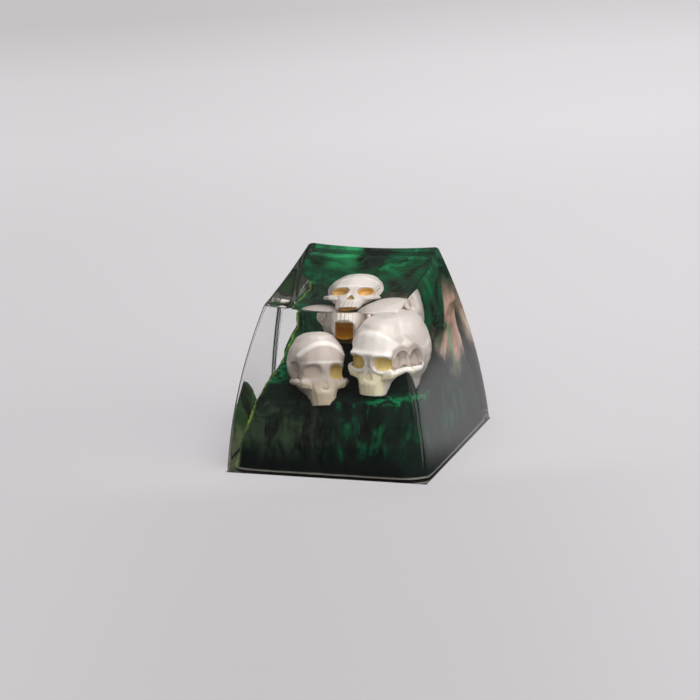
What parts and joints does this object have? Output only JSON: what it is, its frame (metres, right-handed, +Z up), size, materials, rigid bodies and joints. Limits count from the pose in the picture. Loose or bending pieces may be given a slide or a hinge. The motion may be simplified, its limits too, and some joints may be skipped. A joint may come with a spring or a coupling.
{
  "type": "artisan keycap",
  "caption": "Tall tapered keycap of clear resin with a dished sloping top, ivory skulls cast in on a dark green rock, and a hollow underside with a cross-socket stem.",
  "frame": {"origin": "middle of the bottom rim, on the plane that the cap rests on", "axes": "+Z up out of the dished top, -Y towards the low front edge of the top, +X to the right seen from the front"},
  "size_m": [0.0184, 0.0184, 0.0165],
  "materials": {
    "clear_resin": "polished",
    "green_rock": "rough, black with green pigment",
    "ivory": "matte with an amber wash in the hollows"
  },
  "bodies": {
    "root": {"clear_resin_body": "clear_resin", "rock_base": "green_rock", "skull_left": "ivory", "skull_right": "ivory", "skull_top": "ivory"}
  },
  "joints": []
}
